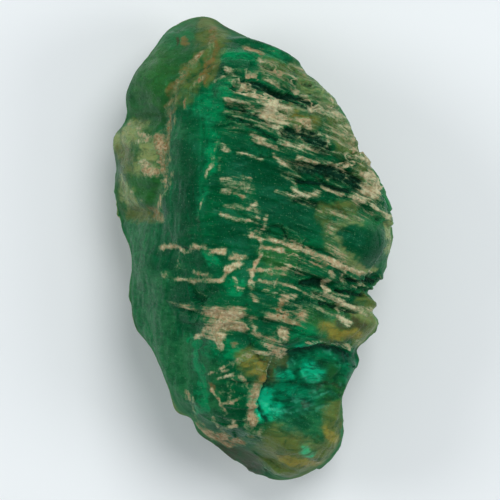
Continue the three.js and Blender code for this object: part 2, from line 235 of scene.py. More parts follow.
# Soft patches of another colour, as (reach, share, path), read as the films are. Later ones lie
# over earlier ones.
PATCHES = {
    # painted sheen: paler green on the flank and along the rims, where light falls across them
    "painted_sheen": [
        (0.55, 0.8, [(-2.4, 0.4), (-2.3, -1.2), (-1.8, -2.3), (-1.5, -3.1)]),
        (0.4, 0.6, [(-1.9, -0.6), (-1.7, -1.8), (-1.5, -2.4)]),
        (0.4, 0.5, [(-1.4, 2.3), (-1.4, 1.6)]),
        (0.3, 1.0, [(2.1, 0.6), (2.5, 0.5), (2.7, 0.2), (2.6, -0.25)]),
        (0.25, 1.0, [(1.75, -0.1), (2.1, -0.35), (2.4, -0.3)]),
        (0.35, 0.7, [(0.2, 3.7), (1.0, 3.3), (1.7, 2.7), (2.1, 2.0)]),
        (0.3, 0.8, [(-1.35, -1.9), (-1.4, -2.9)]),
        (0.35, 0.6, [(-0.8, -2.3), (-0.75, -3.3)]),
        (0.5, 0.6, [(1.3, -3.4), (0.7, -3.6)]),
        (0.3, 1.0, [(-1.7, 4.2), (-1.3, 4.3)]),
    ],
    "deep": [
        (0.5, 1.1, [(1.95, 0.2), (2.2, 0.05)]),
        (0.6, 0.9, [(-0.1, 1.6), (0.5, 1.5)]),
        (0.6, 0.9, [(0.5, 0.8), (1.0, 0.6)]),
        (0.4, 0.8, [(-0.5, 0.4), (-0.2, 0.3)]),
        (0.3, 0.7, [(-1.3, 2.0), (-1.3, 0.8)]),
        (0.4, 0.8, [(1.2, 1.7), (2.1, 1.35)]),
        (0.4, 0.8, [(0.7, -1.15), (1.3, -1.1)]),
        (0.3, 0.8, [(-0.3, 2.6), (0.3, 2.55)]),
        (0.3, 0.8, [(0.95, -3.45), (0.9, -3.75)]),
        (0.25, 0.8, [(0.85, -4.35), (1.1, -4.35)]),
        (0.3, 0.7, [(2.2, -0.35), (2.5, -0.6)]),
    ],
    # brighter green: partly the stone's own, partly a painted highlight band along the ridge and on
    # smooth facets
    "lively_highlight": [
        (0.18, 0.5, [(-0.8, 2.7), (-0.8, 2.2)]),
        (0.16, 0.65, [(-0.75, 2.2), (-0.85, 1.5)]),
        (0.14, 0.4, [(-0.9, 1.4), (-1.1, 0.7)]),
        (0.45, 0.7, [(-0.9, 2.9), (-0.6, 3.0)]),
        (0.3, 0.7, [(-0.7, 3.8), (0.0, 3.7), (0.4, 3.75)]),
        (0.2, 0.7, [(-0.9, -0.15), (-0.7, -0.25)]),
        (0.16, 0.9, [(-1.15, -1.8), (-1.05, -2.4), (-1.0, -3.2)]),
        (0.35, 0.7, [(-0.7, -1.95), (-0.2, -2.1)]),
        (0.25, 0.9, [(-0.4, -0.75), (-0.25, -0.8)]),
        (0.3, 0.7, [(0.9, -1.65), (1.3, -1.7)]),
    ],
    "leaf": [
        (0.6, 0.8, [(-1.9, 3.8), (-2.0, 3.2)]),
        (0.35, 0.8, [(0.3, -0.1), (0.8, -0.1)]),
        (0.35, 0.8, [(0.3, -0.35), (0.6, -0.3)]),
        (0.5, 0.9, [(-2.3, 1.3), (-2.1, 1.0)]),
        (0.5, 0.7, [(1.5, -2.6), (1.7, -3.2)]),
        (0.4, 0.6, [(1.2, -1.4), (1.6, -1.35)]),
    ],
    "pale": [
        (0.35, 0.9, [(-2.65, 2.1), (-2.3, 2.35)]),
        (0.3, 0.8, [(-2.0, 2.1), (-2.05, 1.7)]),
        (0.25, 0.7, [(-2.55, 1.4), (-2.4, 0.9)]),
        (0.25, 1.0, [(2.75, 0.4), (2.75, -0.1)]),
        (0.14, 0.5, [(1.75, -0.05), (1.65, 0.35), (1.8, 0.55), (2.1, 0.6)]),
        (0.14, 0.7, [(1.75, -0.1), (2.0, -0.35), (2.4, -0.4)]),
        (0.3, 0.9, [(2.2, -1.3), (2.45, -1.45), (2.25, -1.8)]),
        (0.3, 0.6, [(1.0, 3.3), (1.6, 2.8)]),
        (0.25, 0.6, [(1.7, 2.5), (2.1, 1.9)]),
        (0.5, 0.45, [(0.5, -3.8), (1.2, -4.1)]),
    ],
    "olive": [
        (0.45, 0.95, [(-0.9, 4.5), (-0.75, 4.1)]),
        (0.25, 0.9, [(-0.75, 4.0), (-0.9, 3.4)]),
        (0.35, 0.55, [(-1.2, 3.5), (-1.4, 3.0)]),
        (0.35, 0.9, [(-2.5, 1.9), (-2.4, 1.7)]),
        (0.22, 0.9, [(-2.5, 0.7), (-2.0, 0.7)]),
        (0.4, 1.0, [(0.0, -2.2), (0.2, -2.45)]),
        (0.25, 0.9, [(0.4, -2.25), (0.6, -2.25)]),
        (0.4, 1.0, [(1.55, -1.65), (2.1, -1.6)]),
        (0.3, 1.0, [(2.2, -1.05), (2.3, -1.1)]),
        (0.7, 0.95, [(0.5, -4.0), (0.9, -4.3)]),
        (0.4, 0.85, [(1.4, -4.1), (1.6, -3.8), (1.65, -3.3)]),
        (0.25, 0.7, [(1.45, 0.8), (2.0, 0.8)]),
        (0.2, 0.5, [(1.45, 0.6), (1.5, 0.1)]),
        (0.4, 0.8, [(1.6, 2.6), (2.3, 1.5)]),
        (0.3, 0.8, [(0.3, 3.55), (1.0, 3.45)]),
        (0.25, 0.8, [(0.7, 2.6), (1.2, 2.45)]),
    ],
    "gold": [
        (0.28, 0.85, [(0.05, -2.25), (0.1, -2.35)]),
        (0.16, 0.7, [(0.75, 2.65), (1.1, 2.5)]),
        (0.2, 0.75, [(1.5, -1.6), (1.75, -1.75), (2.0, -1.7)]),
        (0.12, 0.9, [(0.6, -4.15), (1.35, -4.3)]),
        (0.15, 0.8, [(0.15, -2.5), (0.15, -2.8)]),
        (0.15, 0.6, [(1.5, -3.6), (1.7, -3.8)]),
    ],
    "rust": [
        (0.11, 0.85, [(-1.35, 4.2), (-1.3, 4.15)]),
        (0.11, 0.7, [(-0.75, 4.35), (-0.8, 3.95), (-0.95, 3.5)]),
        (0.1, 0.7, [(-1.0, 3.45), (-1.0, 3.3)]),
        (0.1, 0.6, [(-1.0, 3.9), (-1.55, 3.25), (-1.65, 2.65)]),
        (0.09, 0.9, [(-1.75, 2.25), (-1.75, 2.15)]),
        (0.08, 0.8, [(-1.75, 1.9), (-1.7, 1.85)]),
        (0.12, 0.7, [(-2.0, 0.8), (-1.9, 0.7)]),
        (0.14, 0.95, [(0.1, -2.55), (0.15, -2.75)]),
        (0.1, 0.9, [(2.1, 0.9), (2.25, 0.9)]),
        (0.07, 0.9, [(0.6, 2.8), (0.65, 2.8)]),
        (0.06, 0.9, [(-0.8, -2.65), (-0.75, -2.7)]),
        (0.12, 0.7, [(-0.65, -1.35), (-0.3, -1.4)]),
    ],
    "brown": [
        (0.3, 0.95, [(-0.6, -4.0), (-0.2, -4.15), (0.1, -4.4)]),
        (0.1, 0.9, [(-0.6, -3.85), (-0.5, -3.85)]),
        (0.2, 0.7, [(-1.15, -3.5), (-0.9, -3.75)]),
        (0.16, 0.7, [(1.75, -1.45), (2.05, -1.5)]),
        (0.07, 0.6, [(1.2, -2.8), (1.5, -2.7), (1.8, -2.7)]),
        (0.09, 0.7, [(1.05, -3.05), (1.2, -3.1)]),
        (0.07, 0.9, [(-1.55, 4.2), (-1.5, 4.15)]),
    ],
    # painted glints: bright teal where light shines back out of the clear chip
    "painted_glint": [
        (0.34, 1.1, [(0.2, -2.95), (0.2, -3.15)]),
        (0.25, 0.65, [(0.35, -3.25), (0.5, -3.2)]),
        (0.28, 0.7, [(1.15, -2.4), (1.3, -2.5)]),
        (0.2, 0.55, [(0.55, -2.5), (0.7, -2.5)]),
        (0.3, 0.22, [(0.6, -2.8), (1.3, -2.9)]),
        (0.16, 0.42, [(1.0, -3.95), (1.15, -4.05)]),
        (0.1, 0.5, [(0.9, -1.95), (1.3, -1.85)]),
    ],
}

# How common each kind of patch is on the sides and back, where noise places it.
HIDDEN_SHARE = {
    "painted_sheen": 0.45, "deep": 0.45, "lively_highlight": 0.4, "leaf": 0.3, "pale": 0.15, "olive": 0.35,
    "gold": 0.1, "rust": 0.1, "brown": 0.2, "painted_glint": 0.0,
}

# Where the surface drops away under a ledge, as (reach, share, path). The drop is sharp along the
# path and fades out to its right-hand side, seen along the path. The relief cuts it in, and the
# material paints shade over it.
DROPS = [
    (0.22, 1.0, [(0.05, 3.3), (0.5, 3.1), (0.8, 3.1), (1.1, 3.0), (1.2, 2.85)]),
    (0.15, 1.0, [(0.65, 3.0), (0.95, 2.85), (1.15, 2.75)]),
    (0.36, 1.0, [(0.75, 2.4), (1.0, 2.4), (1.25, 2.3), (1.45, 2.1)]),
    (0.34, 1.0, [(1.05, 1.75), (1.5, 1.65), (2.0, 1.5), (2.25, 1.3)]),
    (0.14, 0.8, [(0.95, 1.4), (1.4, 1.3), (1.9, 1.2)]),
    (0.22, 0.9, [(1.0, -0.6), (1.2, -0.55), (1.45, -0.6)]),
    (0.14, 0.8, [(1.85, -0.55), (2.3, -0.6), (2.6, -0.65)]),
    (0.12, 0.8, [(1.7, -0.8), (2.2, -0.85)]),
    (0.1, 0.9, [(1.35, -1.05), (1.7, -1.15), (2.05, -1.25)]),
    (0.12, 0.7, [(0.9, 1.0), (1.25, 0.9)]),
    (0.1, 0.6, [(-0.5, 2.85), (0.1, 2.65), (0.4, 2.5)]),
    (0.1, 0.6, [(-0.5, 2.65), (0.0, 2.45), (0.5, 2.2)]),
    (0.3, 0.5, [(0.75, -2.05), (1.3, -1.85), (1.95, -2.05)]),
    (0.2, 0.6, [(0.2, -3.4), (0.1, -3.05), (0.2, -2.75), (0.25, -2.45)]),
]
# Where the stone is clear emerald.
CLEAR = [
    (0.7, 1.2, [(0.7, -2.3), (1.3, -2.15), (1.7, -2.3)]),
    (0.6, 1.2, [(0.5, -2.95), (0.9, -3.0), (1.3, -2.8)]),
]
# Where films also follow the edges of the chips, as a web of thin veins.
VEINED = [
    (0.9, 1.0, [(0.1, 3.3), (1.2, 2.6), (2.1, 1.6)]),
    (0.5, 0.5, [(0.0, 0.5), (1.0, -0.2), (2.2, -0.6)]),
    (0.5, 0.5, [(0.2, -0.6), (0.8, -1.2), (1.6, -1.2)]),
    (0.5, 0.4, [(-0.7, -2.3), (-0.4, -2.9), (0.0, -3.5)]),
    (0.5, 0.4, [(-1.4, -0.2), (-0.4, -0.4)]),
    (0.4, 0.4, [(-0.4, 1.3), (0.3, 0.8)]),
]
# Where the films have no streaks along the partings.
WEBBED = [
    (0.8, 1.0, [(-0.5, -2.3), (-0.35, -3.4)]),
    (0.7, 0.8, [(-1.6, -0.3), (0.1, -0.3)]),
]
# Where the surface is broken into ledges and chips, and where it stays smooth within that.
BROKEN = [
    (1.6, 1.2, [(0.2, 3.2), (1.2, 2.4), (2.2, 1.2)]),
    (0.7, 0.55, [(0.3, 0.3), (1.5, -0.2)]),
    (0.6, 0.9, [(1.0, -0.6), (2.4, -0.9)]),
    (0.6, 0.7, [(0.4, -1.3), (1.2, -1.4)]),
    (0.8, 0.8, [(-0.9, -1.2), (-0.3, -1.4)]),
    (0.7, 0.8, [(-0.6, -3.7), (-0.2, -3.4), (0.0, -2.6)]),
]
CALM = [
    (0.7, 1.0, [(2.05, 0.1), (2.35, 0.1)]),
    (0.5, 1.0, [(1.7, -1.6), (2.2, -1.6)]),
    (0.3, 1.0, [(2.2, -1.05), (2.25, -1.1)]),
    (0.6, 0.8, [(-0.1, 1.5), (0.3, 1.4)]),
    (0.5, 0.8, [(-0.9, -0.2), (-0.6, 0.3)]),
    (0.7, 0.9, [(-1.0, -2.0), (-0.8, -2.9)]),
]

# Bumps and dents of the upper face, as (X, Y, reach along X, reach along Y, height), in mm.
LUMPS = [
    (2.2, 0.15, 0.5, 0.42, 0.26),
    (2.0, -1.5, 0.45, 0.28, 0.18),
    (-2.2, 1.6, 0.4, 0.6, 0.14),
    (-2.35, 2.25, 0.3, 0.2, 0.1),
    (-1.95, 3.4, 0.4, 0.5, 0.12),
    (-2.1, 2.6, 0.4, 0.1, -0.1),
    (-2.2, 0.7, 0.3, 0.12, -0.08),
    (2.2, -1.05, 0.16, 0.16, 0.16),
    (1.65, 1.4, 0.6, 0.2, -0.1),
    (0.3, -3.05, 0.22, 0.3, -0.12),
    (1.35, -2.5, 0.25, 0.18, -0.08),
    (0.1, -2.25, 0.3, 0.4, 0.12),
    (-0.55, -1.4, 0.6, 0.2, -0.05),
    (0.8, -2.2, 0.5, 0.2, -0.1),
]

# Sideways bumps and dents of the outline, as (X, Y, reach, push along X, push along Y), in mm.
PUSHES = [
    (1.75, 3.05, 0.25, -0.1, -0.04),
    (2.35, 1.9, 0.25, -0.1, -0.03),
    (2.7, -0.6, 0.12, -0.06, 0.04),
    (2.45, -0.9, 0.14, -0.16, 0.0),
    (2.3, -1.1, 0.1, 0.1, 0.0),
    (2.4, -1.45, 0.15, 0.08, 0.0),
    (2.1, -2.0, 0.14, -0.08, 0.0),
]

# ---- colours ----


def linear(red, green, blue):
    """A colour of 0 to 255 in each channel, as on a screen, in the renderer's linear terms."""
    channels = []
    for value in (red, green, blue):
        v = value / 255
        channels.append(v / 12.92 if v <= 0.04045 else ((v + 0.055) / 1.055) ** 2.4)
    return (*channels, 1.0)


DEEP_GREEN = linear(0, 61, 31)
BODY_GREEN = linear(0, 90, 46)
# brighter green of some streaks, and of the painted highlight along the ridge
LIVELY_AND_HIGHLIGHT_GREEN = linear(0, 128, 75)
LOBE_GREEN = linear(38, 90, 40)
# painted sheen
PAINTED_SHEEN_GREEN = linear(34, 102, 58)
# painted shade: the dark green painted under the ledges and in the hollows
PAINTED_SHADE_GREEN = linear(6, 32, 20)
CHIP_DEEP = linear(0, 71, 41)
CHIP_BRIGHT = linear(0, 132, 82)
# pale green of the scratches, and of the painted glints
SCRATCH_AND_GLINT = linear(90, 134, 98)
FILM_EDGE = linear(84, 128, 84)
CREAM = linear(216, 208, 168)
TAN = linear(196, 170, 132)
TAN_SHADE = linear(122, 112, 72)
RUST_BROWN = linear(140, 98, 58)
SUBSURFACE_TINT = (0.1, 1.0, 0.6)  # green light goes furthest into the stone
SPECULAR_TINT = (0.15, 1.0, 0.65, 1.0)
FLOOR_COLOUR = (0.84, 0.87, 0.88, 1.0)
SKY_COLOUR = (0.8, 0.85, 0.9, 1.0)

# Each patch's colour, how much of what is under it it hides, and how ragged it is.
PATCH_COLOURS = {
    # painted sheen
    "painted_sheen": (PAINTED_SHEEN_GREEN, 0.85, 1.4),
    "deep": (DEEP_GREEN, 0.85, 1.2),
    # partly a painted highlight
    "lively_highlight": (LIVELY_AND_HIGHLIGHT_GREEN, 0.8, 1.4),
    "leaf": (linear(40, 96, 38), 0.8, 1.4),
    "pale": (linear(136, 146, 88), 0.8, 1.4),
    "olive": (linear(88, 100, 44), 0.9, 1.3),
    "gold": (linear(140, 126, 48), 0.7, 1.6),
    "rust": (linear(122, 92, 50), 0.7, 1.8),
    "brown": (linear(56, 50, 32), 0.9, 1.3),
    # painted glints
    "painted_glint": (linear(8, 204, 148), 0.92, 1.5),
}

# ---- noise ----


def smoothstep(low, high, x):
    """0 at `low` and beyond it, 1 at `high` and beyond it, whichever of them is larger."""
    t = np.clip((x - low) / (high - low), 0, 1)
    return t * t * (3 - 2 * t)


def scrambled(cells, seed):
    """A repeatable 32-bit number for each whole-number point."""
    c = cells.astype(np.int64).astype(np.uint32)
    h = c[:, 0] * np.uint32(0x8DA6B343)
    h ^= c[:, 1] * np.uint32(0xD8163841)
    h ^= c[:, 2] * np.uint32(0xCB1AB31F)
    h ^= np.uint32((seed * 0x9E3779B1) & 0xFFFFFFFF)
    h ^= h >> np.uint32(15)
    h *= np.uint32(0x2C1B3C6D)
    h ^= h >> np.uint32(12)
    h *= np.uint32(0x297A2D39)
    return h ^ (h >> np.uint32(15))


def fraction(h, byte):
    """A number from 0 to 1 from one byte of each scrambled number."""
    return ((h >> np.uint32(8 * byte)) & np.uint32(255)).astype(float) / 255


def three_fractions(h):
    """A point from 0 to 1 along each axis for each scrambled number."""
    return np.stack([fraction(h, 0), fraction(h, 1), fraction(h, 2)], 1)


def noise(points, size, seed):
    """Smooth gradient noise, about -1 to 1, with features `size` mm across."""
    q = points / size
    cell = np.floor(q)
    f = q - cell
    ease = f * f * f * (f * (f * 6 - 15) + 10)
    total = np.zeros(len(points))
    for corner in itertools.product((0, 1), repeat=3):
        slope = three_fractions(scrambled(cell + corner, seed)) * 2 - 1
        weight = np.prod(np.where(corner, ease, 1 - ease), axis=1)
        total += weight * np.sum(slope * (f - corner), axis=1)
    return total * 1.4


def cloud(points, size, seed, layers=3):
    """Noise with finer and finer layers."""
    total = np.zeros(len(points))
    for layer in range(layers):
        total += noise(points, size / 2**layer, seed + layer) / 2**layer
    return total


def facets(points, size, seed):
    """Flat chips: a height from -1 to 1, a number per chip, and how near each point is to an edge."""
    q = points / size
    cell = np.floor(q)
    nearest = np.full(len(points), 9.0)
    second = np.full(len(points), 9.0)
    height = np.zeros(len(points))
    label = np.zeros(len(points))
    for offset in itertools.product((-1, 0, 1), repeat=3):
        corner = cell + offset
        h = scrambled(corner, seed)
        tilt = scrambled(corner, seed + 1)
        middle = corner + 0.5 + 0.8 * (three_fractions(h) - 0.5)
        lean = three_fractions(tilt) * 2 - 1
        away = q - middle
        distance = np.sqrt(np.sum(away * away, axis=1))
        closer = distance < nearest
        second = np.where(closer, nearest, np.minimum(second, distance))
        own_height = np.sum(away * lean, axis=1) + 0.6 * (fraction(h, 3) - 0.5)
        height = np.where(closer, own_height, height)
        label = np.where(closer, fraction(tilt, 3), label)
        nearest = np.where(closer, distance, nearest)
    return height, label, second - nearest


# ---- strokes ----


def path_distance(xy, path):
    """Distance from each point to a path, and how far it lies to the path's right-hand side."""
    nearest = np.full(len(xy), np.inf)
    right = np.zeros(len(xy))
    for start, end in zip(path, path[1:]):
        start, end = np.array(start), np.array(end)
        length = np.linalg.norm(end - start)
        step = (end - start) / length
        away = xy - start
        t = np.clip(away @ step, 0, length)
        distance = np.linalg.norm(away - t[:, None] * step, axis=1)
        right = np.where(distance < nearest, away[:, 0] * step[1] - away[:, 1] * step[0], right)
        nearest = np.minimum(nearest, distance)
    return nearest, right


def stroke_cover(xy, reach, share, path):
    """How much of the surface a stroke covers: its share along its path, none beyond its reach."""
    near = np.all((xy > np.min(path, 0) - reach) & (xy < np.max(path, 0) + reach), axis=1)
    amount = np.zeros(len(xy))
    amount[near] = share * smoothstep(reach, 0.2 * reach, path_distance(xy[near], path)[0])
    return amount


def covers(xy, strokes):
    """The most that any of the strokes covers."""
    amount = np.zeros(len(xy))
    for reach, share, path in strokes:
        amount = np.maximum(amount, stroke_cover(xy, reach, share, path))
    return amount


def film_covers(xy):
    """The films' cover, and the warmth of the strongest film at each point."""
    amount = np.zeros(len(xy))
    warmth = np.full(len(xy), 0.3)
    for reach, share, warm, path in FILMS:
        own = stroke_cover(xy, reach, share, path)
        warmth = np.where(own > amount, warm, warmth)
        amount = np.maximum(amount, own)
    return amount, warmth


def drops(xy):
    """How deep under the nearest ledge each point lies, from 0 to 1."""
    depth = np.zeros(len(xy))
    for reach, share, path in DROPS:
        distance, right = path_distance(xy, path)
        under = smoothstep(-0.02, 0.05, right) * smoothstep(reach, 0, distance)
        depth = np.maximum(depth, share * under)
    return depth


def right_of(p, line, soft):
    """0 well to the left of a line that runs down the crystal, 1 well to the right of it."""
    line = np.array(line[::-1])
    edge = np.interp(p[:, 1], line[:, 1], line[:, 0])
    return smoothstep(-soft, soft, p[:, 0] - edge)


def ragged(p, amount):
    """The points' X and Y, shifted about so that what is drawn with them has ragged edges."""
    shift = np.stack([cloud(p, 0.45, 71, 2), cloud(p, 0.45, 81, 2)], 1)
    fine = np.stack([cloud(p, 0.12, 75, 2), cloud(p, 0.12, 85, 2)], 1)
    return p[:, :2] + amount * (shift * (0.07, 0.05) + fine * (0.035, 0.025))


# ---- mesh ----


def add_object(name, data):
    made = bpy.data.objects.new(name, data)
    bpy.context.scene.collection.objects.link(made)
    return made


def mesh_arrays(mesh):
    """Each point's place, and the two points of each edge."""
    co = np.empty(len(mesh.vertices) * 3, np.float32)
    mesh.vertices.foreach_get("co", co)
    edges = np.empty(len(mesh.edges) * 2, np.int32)
    mesh.edges.foreach_get("vertices", edges)
    return co.reshape(-1, 3).astype(float), edges.reshape(-1, 2)


def neighbour_mean(values, edges):
    """The mean of each point's neighbours, for one number or three per point."""
    columns = values.reshape(len(values), -1)
    count = np.bincount(edges.ravel(), minlength=len(values))
    mean = np.empty_like(columns)
    for k in range(columns.shape[1]):
        total = np.bincount(edges[:, 0], columns[edges[:, 1], k], len(values))
        total += np.bincount(edges[:, 1], columns[edges[:, 0], k], len(values))
        mean[:, k] = total / np.maximum(count, 1)
    return mean.reshape(values.shape)


def smoothed(values, edges, rounds):
    """Taubin smoothing: it takes out steps without shrinking the form."""
    for _ in range(rounds):
        values = values + 0.5 * (neighbour_mean(values, edges) - values)
        values = values - 0.42 * (neighbour_mean(values, edges) - values)
    return values


def averaged(values, edges, rounds):
    """The values spread out over their surroundings."""
    for _ in range(rounds):
        values = 0.5 * values + 0.5 * neighbour_mean(values, edges)
    return values


def even_normals(mesh, edges):
    """Each point's normal, smoothed a little."""
    normal = np.empty(len(mesh.vertices) * 3, np.float32)
    mesh.vertices.foreach_get("normal", normal)
    normal = smoothed(normal.reshape(-1, 3).astype(float), edges, 4)
    return normal / np.linalg.norm(normal, axis=1, keepdims=True)


def voxel_mesh():
    """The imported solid's form in millimetres, remeshed evenly."""
    bm = bmesh.new()
    bm.from_mesh(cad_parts[NODE].data)
    bmesh.ops.transform(bm, matrix=Matrix.Scale(1 / MM, 4), verts=bm.verts)
    bmesh.ops.remove_doubles(bm, verts=bm.verts, dist=1e-4)
    coarse = bpy.data.meshes.new("coarse")
    bm.to_mesh(coarse)
    bm.free()
    holder = add_object("holder", coarse)
    remesh = holder.modifiers.new("even", "REMESH")
    remesh.mode = "VOXEL"
    remesh.voxel_size = VOXEL
    evaluated = holder.evaluated_get(bpy.context.evaluated_depsgraph_get())
    even = bpy.data.meshes.new_from_object(evaluated)
    bpy.data.objects.remove(holder)
    return even


def fine_mesh():
    """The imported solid's form as a smooth mesh in millimetres, finer on the upper side."""
    mesh = voxel_mesh()
    co, edges = mesh_arrays(mesh)
    mesh.vertices.foreach_set("co", smoothed(co, edges, 40).ravel())
    mesh.update()
    bm = bmesh.new()
    bm.from_mesh(mesh)
    upper_edges = {e for f in bm.faces if f.normal.z > UPPER_SIDE for e in f.edges}
    bmesh.ops.subdivide_edges(bm, edges=list(upper_edges), cuts=1, use_grid_fill=True)
    bm.to_mesh(mesh)
    bm.free()
    return mesh


# ---- relief ----


def parting_level(p):
    """Rises along the crystal; constant along each parting, which curves down to the right."""
    across = p[:, 0] - PARTING_BEND_X
    return p[:, 1] + PARTING_FALL * across + PARTING_BEND * across**2 * (across > 0)


def ledges(p, spacing, seed):
    """Parting ledges: each starts with a sharp lip on its lower side and sinks away above it."""
    level = parting_level(p) / spacing + 0.5 * noise(p * 0.5, spacing * 1.6, seed)
    index = np.floor(level)
    above = level - index
    along = np.stack([p[:, 0] / 0.9, index * 5.3, p[:, 2] / 0.9], 1)
    present = smoothstep(-0.25, 0.35, noise(along, 1.0, seed + 1))
    return present * smoothstep(0, 0.14, above) * (1 - above)


def regions(p, normal):
    """Named masks from 0 to 1 that say what kind of surface each point has."""
    xy = p[:, :2]
    endward = np.abs(normal[:, 1])
    front = smoothstep(0.02, 0.27, normal[:, 2])
    body = right_of(p, RIDGE, 0.18)
    lobes = 1 - right_of(p, SEAM, 0.12)
    clear = smoothstep(0.3, 0.8, covers(xy, CLEAR))
    broken = np.minimum(covers(xy, BROKEN), 1)
    rough = body * (0.15 + 0.85 * broken) * (1 - 0.9 * covers(xy, CALM)) * (1 - clear)
    hidden_rough = 0.15 + 0.5 * smoothstep(-0.2, 0.4, noise(p, 1.6, 5))
    steep_ends = smoothstep(0.6, 0.85, endward)
    hidden_ends = (1 - front) * smoothstep(0.4, 0.75, endward)
    webbed = front * covers(xy, WEBBED)
    return {
        "front": front,
        "lobes": lobes,
        "flank": (1 - body) * (1 - lobes),
        "clear": clear * front,
        "rough": front * rough + (1 - front) * hidden_rough,
        "streakless": np.max([lobes, steep_ends, hidden_ends, webbed], axis=0),
    }


def broken_relief(p, where, big_chips, small_chips):
    """Ledges and chips, high where the surface is rough and low on the smooth sides."""
    rough = where["rough"]
    broad = 1 - 0.75 * np.maximum(where["flank"], where["streakless"])
    relief = 0.24 * rough * ledges(p, LARGE_LEDGES, 31)
    relief += 0.14 * (rough + 0.1) * broad * ledges(p, SMALL_LEDGES, 33)
    relief += 0.03 * (rough + 0.1) * broad * ledges(p, FINE_LEDGES, 35)
    relief += 0.17 * big_chips * (0.25 + 0.75 * rough) * broad
    relief += 0.07 * small_chips * (0.1 + 0.9 * rough) * broad
    return relief


def grown_relief(p, where):
    """Striations along the crystal on its flank, and swellings of the lobes and the clear chip."""
    across = np.stack([p @ (0.956, -0.29, 0.0), 0.09 * p[:, 1], p[:, 2]], 1)
    relief = 0.008 * where["flank"] * noise(across, 0.12, 41)
    relief += 0.02 * where["flank"] * noise(across, 0.35, 42)
    relief += 0.07 * where["lobes"] * cloud(p * (1, 1, 0.4), 0.7, 43)
    relief += 0.05 * where["clear"] * cloud(p * (1, 1.4, 0.6), 0.6, 13, 2)
    return relief


def placed_relief(p, drop):
    """The upper face's own bumps and dents, and the cuts of its drops and seam."""
    relief = -0.22 * drop - 0.06 * stroke_cover(p[:, :2], 0.15, 1.0, SEAM[1:-1])
    for x, y, reach_x, reach_y, height in LUMPS:
        spread = ((p[:, 0] - x) / reach_x) ** 2 + ((p[:, 1] - y) / reach_y) ** 2
        relief += height * np.exp(-spread)
    return relief


def whole_relief(p, normal, where, film, drop, big_chips, small_chips):
    """The relief at each point, in mm along the normal."""
    relief = 0.06 * cloud(p, 1.1, 21, 2)
    relief += broken_relief(p, where, big_chips, small_chips)
    relief += grown_relief(p, where)
    relief += where["front"] * placed_relief(p, drop)
    relief += smoothstep(0.4, 0.9, film) * (0.008 + 0.02 * cloud(p, 0.1, 51, 2))
    relief += 0.006 * cloud(p, 0.12, 61, 2)

    # The highest crags are worn down, and round the crystal's widest part the relief is low,
    # which keeps its outline.
    worn = MOST_RELIEF * np.tanh(relief / MOST_RELIEF)
    steep = smoothstep(0.45, 0.1, np.abs(normal[:, 2]))
    return worn * (1 - 0.6 * steep)


def moved_points(p, normal, relief):
    """The points with their relief and sideways pushes, and with the resting face kept flat."""
    moved = p + normal * relief[:, None]
    for x, y, reach, push_x, push_y in PUSHES:
        near = np.exp(-((p[:, 0] - x) ** 2 + (p[:, 1] - y) ** 2) / reach**2)
        moved[:, :2] += near[:, None] * (push_x, push_y)
    resting = p[:, 2] < BASE_SKIN
    moved[:, 2] = np.where(resting, 0, np.maximum(moved[:, 2], 0))
    return moved


# ---- films and patches ----


def hidden_side_film(p):
    """Films for the sides and back: thin seams along the partings, and a few patches."""
    bed = np.stack([p[:, 0] * 0.5, parting_level(p) * 2.4, p[:, 2] * 0.7], 1)
    seams = 0.8 * smoothstep(0.16, 0.02, np.abs(noise(bed, 1.0, 91)))
    seams *= smoothstep(-0.2, 0.3, noise(p, 0.9, 97))
    patches = smoothstep(0.3, 0.7, cloud(p, 1.3, 95))
    return np.maximum(seams, patches)


def mineral_films(p, film_xy, normal, front, big_gap, small_gap):
    """How strong the films are, how warm, and where thin veins of them follow the chips' edges."""
    film, warmth = film_covers(film_xy)
    film *= 0.85 + 0.55 * cloud(p * (0.6, 1.0, 0.8), 0.22, 65, 2)
    veined = np.minimum(covers(p[:, :2], VEINED), 1) * smoothstep(-0.4, 0.3, cloud(p, 0.8, 67, 2))
    veins = np.maximum(smoothstep(0.12, 0.02, big_gap), 0.8 * smoothstep(0.2, 0.03, small_gap))
    film = np.maximum(film, 0.5 * veined * veins)
    behind = smoothstep(0.05, -0.15, normal[:, 2])
    film = front * film + behind * hidden_side_film(p)
    warmth = front * warmth + (1 - front) * (0.4 + 0.3 * noise(p, 0.8, 99))
    return film, warmth, front * veined


def patch_amounts(p, film_xy, front):
    """How much of each kind of patch lies at each point."""
    patch_xy = ragged(p, PATCH_RAGGEDNESS)
    amounts = {}
    for number, (name, strokes) in enumerate(PATCHES.items()):
        hidden = HIDDEN_SHARE[name]
        if hidden > 0:
            hidden = hidden + 0.8 * cloud(p, 1.2, 110 + 5 * number)
        drawn_at = film_xy if name == "painted_glint" else patch_xy
        amounts[name] = front * covers(drawn_at, strokes) + (1 - front) * hidden
    return amounts


# ---- the crystal ----


def store(mesh, name, values):
    """Keeps one number per point for the material."""
    layer = mesh.attributes.new(name, "FLOAT", "POINT")
    layer.data.foreach_set("value", values.astype(np.float32))


def store_bed(mesh, p):
    """Keeps places in which the partings lie flat, for streaks along them."""
    bed = np.stack([p[:, 0] * 0.12, parting_level(p), p[:, 2] * 0.12], 1)
    layer = mesh.attributes.new("bed", "FLOAT_VECTOR", "POINT")
    layer.data.foreach_set("vector", bed.astype(np.float32).ravel())


